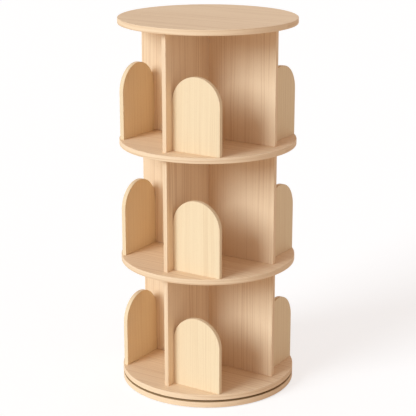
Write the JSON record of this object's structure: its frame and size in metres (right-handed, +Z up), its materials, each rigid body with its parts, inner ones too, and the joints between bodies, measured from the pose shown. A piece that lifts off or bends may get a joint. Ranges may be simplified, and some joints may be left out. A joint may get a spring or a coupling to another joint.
{
  "type": "revolving bookcase",
  "caption": "Round free-standing wooden bookcase whose tiers of open, arch-fronted compartments turn together on a low ball-bearing base.",
  "frame": {"origin": "on the turning axis, at the floor under the foot pads", "axes": "+Z up along the turning axis; -Y is the front, towards the front arm of the dividers"},
  "size_m": [0.4699, 0.47, 0.998],
  "materials": {
    "board": "pale wood grain, satin",
    "dowel": "bare beech",
    "ring": "mill finish",
    "steel": "zinc plated",
    "cam": "cast zinc",
    "retainer": "plain",
    "pad": "matt"
  },
  "bodies": {
    "base": {"base_disc": "board", "foot_pads": "pad", "turntable_fixed_ring": "ring", "fixed_ring_screws": "steel"},
    "ball_cage": {"ball_retainer": "retainer", "bearing_balls": "steel"},
    "carcass": {"turntable_turning_ring": "ring", "turning_ring_screws": "steel", "bottom_shelf": "board", "lower_middle_shelf": "board", "upper_middle_shelf": "board", "top_disc": "board", "lower_divider_left_right": "board", "lower_divider_front_back": "board", "lower_arch_front": "board", "lower_arch_right": "board", "lower_arch_back": "board", "lower_arch_left": "board", "middle_divider_left_right": "board", "middle_divider_front_back": "board", "middle_arch_front": "board", "middle_arch_right": "board", "middle_arch_back": "board", "middle_arch_left": "board", "upper_divider_left_right": "board", "upper_divider_front_back": "board", "upper_arch_front": "board", "upper_arch_right": "board", "upper_arch_back": "board", "upper_arch_left": "board", "divider_dowels": "dowel", "arch_dowels": "dowel", "cam_bolts": "steel", "cam_locks": "cam"}
  },
  "joints": [
    {"name": "revolve", "type": "hinge", "parent": "base", "child": "carcass", "pos_m": [0, 0, 0.02], "axis": [0, 0, 1], "continuous": true},
    {"name": "cage_roll", "type": "hinge", "parent": "base", "child": "ball_cage", "pos_m": [0, 0, 0.02], "axis": [0, 0, 1], "continuous": true}
  ],
  "couplings": [
    {"joint": "cage_roll", "follows": "revolve", "ratio": 0.4947}
  ]
}
